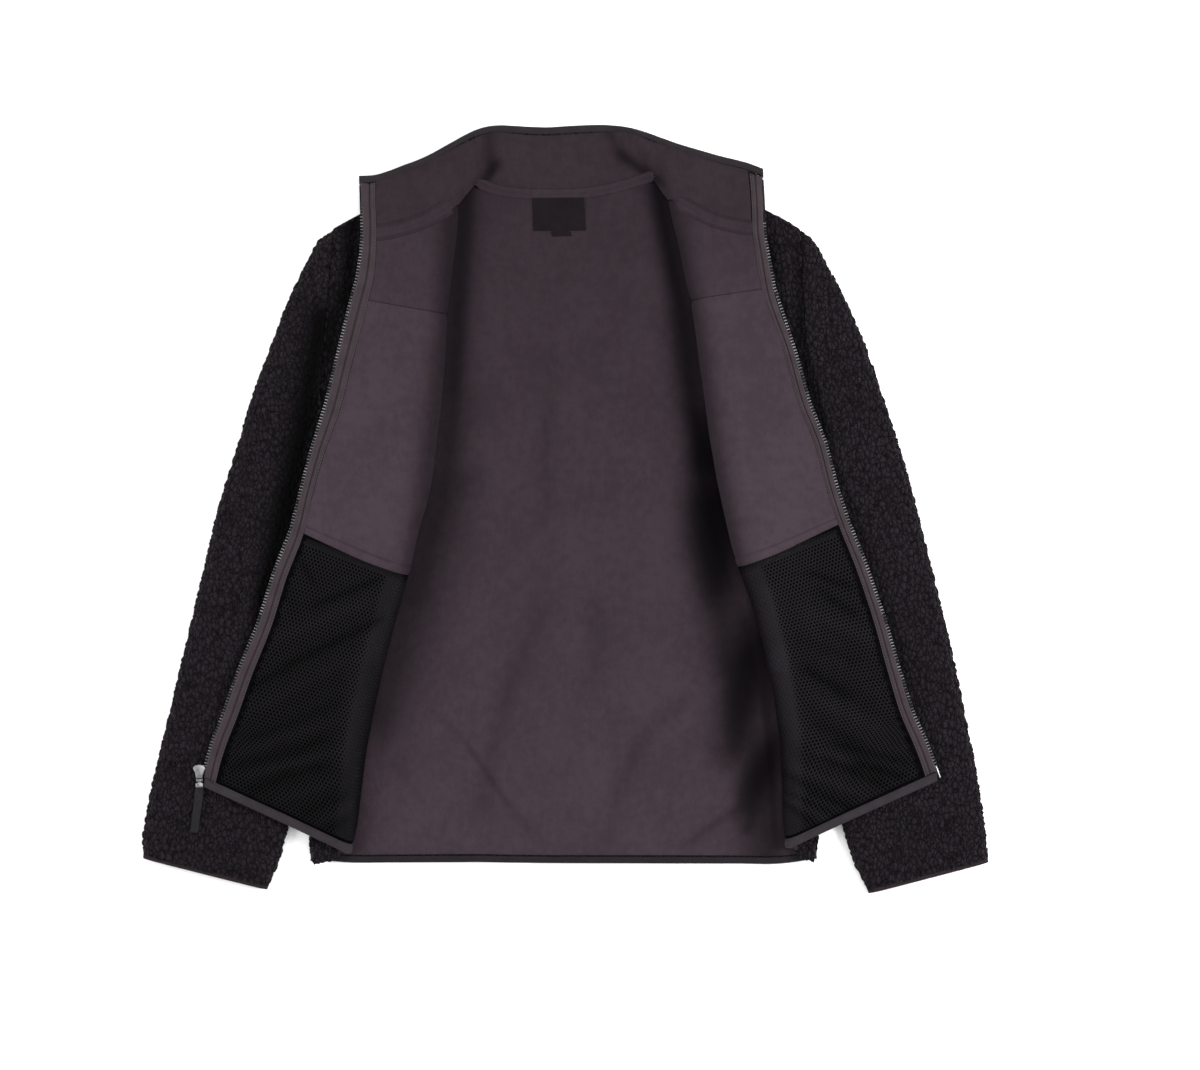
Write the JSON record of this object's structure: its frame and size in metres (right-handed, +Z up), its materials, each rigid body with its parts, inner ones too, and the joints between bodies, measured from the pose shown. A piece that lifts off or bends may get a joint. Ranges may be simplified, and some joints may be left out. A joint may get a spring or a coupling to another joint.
{
  "type": "fleece jacket",
  "caption": "Zip-front sherpa fleece jacket with stand collar, laid open on its back, fronts turned back to show the fleece lining and mesh pockets.",
  "frame": {"origin": "under the middle of the jacket's bounding box, on the surface it lies on", "axes": "+X across the sleeves, +Y from hem to collar, +Z up out of the surface"},
  "size_m": [0.8508, 0.7714, 0.0389],
  "materials": {
    "sherpa": "curly sherpa pile",
    "lining": "brushed fleece",
    "mesh": "knitted net",
    "facing": "brushed tape",
    "binding": "folded binding tape",
    "tape": "woven zip tape",
    "label": "satin label",
    "metal": "plated zip metal",
    "tab": "soft moulded pull"
  },
  "bodies": {
    "jacket": {"back_shell": "sherpa", "back_lining": "lining", "hem_binding_back": "binding", "collar_shell": "sherpa", "collar_lining": "lining", "collar_binding": "binding", "neck_label": "label", "size_label": "label", "zip_slider": "metal", "zip_pin": "metal", "front_shell_L": "sherpa", "front_lining_yoke_L": "lining", "front_lining_chest_L": "lining", "pocket_mesh_L": "mesh", "facing_L": "facing", "zip_tape_L": "tape", "hem_binding_L": "binding", "sleeve_L": "sherpa", "cuff_binding_L": "binding", "front_shell_R": "sherpa", "front_lining_yoke_R": "lining", "front_lining_chest_R": "lining", "pocket_mesh_R": "mesh", "facing_R": "facing", "zip_tape_R": "tape", "hem_binding_R": "binding", "sleeve_R": "sherpa", "cuff_binding_R": "binding"},
    "pull": {"pull_link": "metal", "pull_tab": "tab"}
  },
  "joints": [
    {"name": "pull_swing", "type": "hinge", "parent": "jacket", "child": "pull", "pos_m": [-0.36572, -0.27083, 0.0193], "axis": [-1, 0, 0], "range_deg": [0, 90]}
  ]
}
